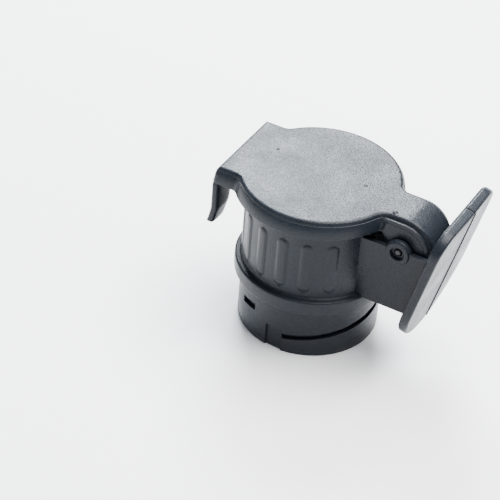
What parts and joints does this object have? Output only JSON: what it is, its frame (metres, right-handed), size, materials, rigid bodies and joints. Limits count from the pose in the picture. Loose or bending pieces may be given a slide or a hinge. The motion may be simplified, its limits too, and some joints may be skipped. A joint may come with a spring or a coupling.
{
  "type": "trailer wiring adapter",
  "caption": "Trailer wiring connector that adapts a towing socket: a bayonet plug below, a socket with a sprung latching lid above, and a tilted plate behind the hinge.",
  "frame": {"origin": "middle of the plug insert's face, on the axis of the plug and the socket", "axes": "+Z from the plug to the socket, +X from the latch to the lid's hinge, +Y along the hinge pin"},
  "size_m": [0.0758, 0.05, 0.0575],
  "materials": {
    "moulded_plastic": "fine spark-eroded grain, charcoal with a faint blue cast",
    "insert_plastic": "satin, as moulded",
    "seal_rubber": "matt",
    "contact_brass": "turned, lightly dulled",
    "plated_steel": "zinc plated, drawn",
    "wire_sheath": "extruded"
  },
  "bodies": {
    "housing": {"housing": "moulded_plastic", "hinge_pin": "plated_steel", "lid_spring": "plated_steel", "socket_insert": "insert_plastic", "socket_contact_1": "contact_brass", "socket_contact_2": "contact_brass", "socket_contact_3": "contact_brass", "socket_contact_4": "contact_brass", "socket_contact_5": "contact_brass", "socket_contact_6": "contact_brass", "socket_contact_7": "contact_brass", "socket_screw_1": "plated_steel", "socket_screw_2": "plated_steel", "retaining_ring": "plated_steel", "jumper_wire_1": "wire_sheath", "jumper_wire_2": "wire_sheath", "jumper_wire_3": "wire_sheath", "jumper_wire_4": "wire_sheath", "jumper_wire_5": "wire_sheath", "jumper_wire_6": "wire_sheath", "jumper_wire_7": "wire_sheath"},
    "lid": {"lid": "moulded_plastic", "lid_seal": "seal_rubber"},
    "plug_insert": {"plug_insert": "insert_plastic", "plug_pin_1": "contact_brass", "plug_pin_2": "contact_brass", "plug_pin_3": "contact_brass", "plug_pin_4": "contact_brass", "plug_pin_5": "contact_brass", "plug_pin_6": "contact_brass", "plug_pin_7": "contact_brass"}
  },
  "joints": [
    {"name": "lid_hinge", "type": "hinge", "parent": "housing", "child": "lid", "pos_m": [0.0304, 0, 0.0311], "axis": [0, 1, 0], "range_deg": [0, 103], "stiffness_Nm_per_rad": 0.07, "springref_deg": -28.65, "deforming": ["lid_spring"]},
    {"name": "plug_insert_turn", "type": "hinge", "parent": "housing", "child": "plug_insert", "pos_m": [0, 0, 0], "axis": [0, 0, 1], "range_deg": [0, 75], "deforming": ["jumper_wire_1", "jumper_wire_2", "jumper_wire_3", "jumper_wire_4", "jumper_wire_5", "jumper_wire_6", "jumper_wire_7"]}
  ]
}
